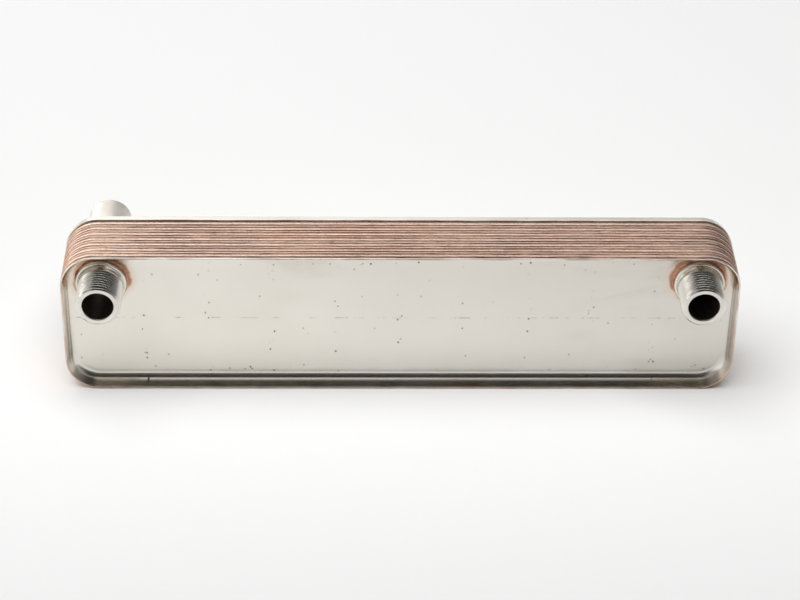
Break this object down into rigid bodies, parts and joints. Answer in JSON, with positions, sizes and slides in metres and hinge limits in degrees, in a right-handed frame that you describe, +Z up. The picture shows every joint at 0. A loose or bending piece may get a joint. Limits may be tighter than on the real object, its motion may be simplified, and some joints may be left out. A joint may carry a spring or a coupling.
{
  "type": "plate heat exchanger",
  "caption": "Brazed plate heat exchanger: nested herringbone plates between two cover plates, joined with copper, with threaded front and plain back nozzles.",
  "frame": {"origin": "middle of the bottom of the bounding box; the unit stands on the lower edges of its plates", "axes": "+X along the length, to the right seen from the front; +Z up; the front pan and the threaded nozzles face -Y"},
  "size_m": [0.3152, 0.0764, 0.0743],
  "materials": {
    "cover_steel": "smooth cold-rolled stainless sheet, clouded by the furnace, with faint light-brown stains",
    "channel_steel": "pressed stainless sheet stained pink-brown by the copper braze",
    "nozzle_steel": "turned stainless steel, bright",
    "copper_braze": "copper braze, dull red-brown"
  },
  "bodies": {
    "root": {"front_cover_plate": "cover_steel", "channel_plate_01": "channel_steel", "channel_plate_02": "channel_steel", "channel_plate_03": "channel_steel", "channel_plate_04": "channel_steel", "channel_plate_05": "channel_steel", "channel_plate_06": "channel_steel", "channel_plate_07": "channel_steel", "channel_plate_08": "channel_steel", "channel_plate_09": "channel_steel", "channel_plate_10": "channel_steel", "channel_plate_11": "channel_steel", "channel_plate_12": "channel_steel", "channel_plate_13": "channel_steel", "back_cover_plate": "cover_steel", "nozzle_front_left": "nozzle_steel", "nozzle_front_right": "nozzle_steel", "nozzle_back_upper_left": "nozzle_steel", "nozzle_back_lower_left": "nozzle_steel", "nozzle_back_lower_right": "nozzle_steel", "braze_ring_front_left": "copper_braze", "braze_ring_front_right": "copper_braze", "braze_ring_back_upper_left": "copper_braze", "braze_ring_back_lower_left": "copper_braze", "braze_ring_back_lower_right": "copper_braze", "rim_braze_seams": "copper_braze", "port_braze_rings": "copper_braze"}
  },
  "joints": []
}
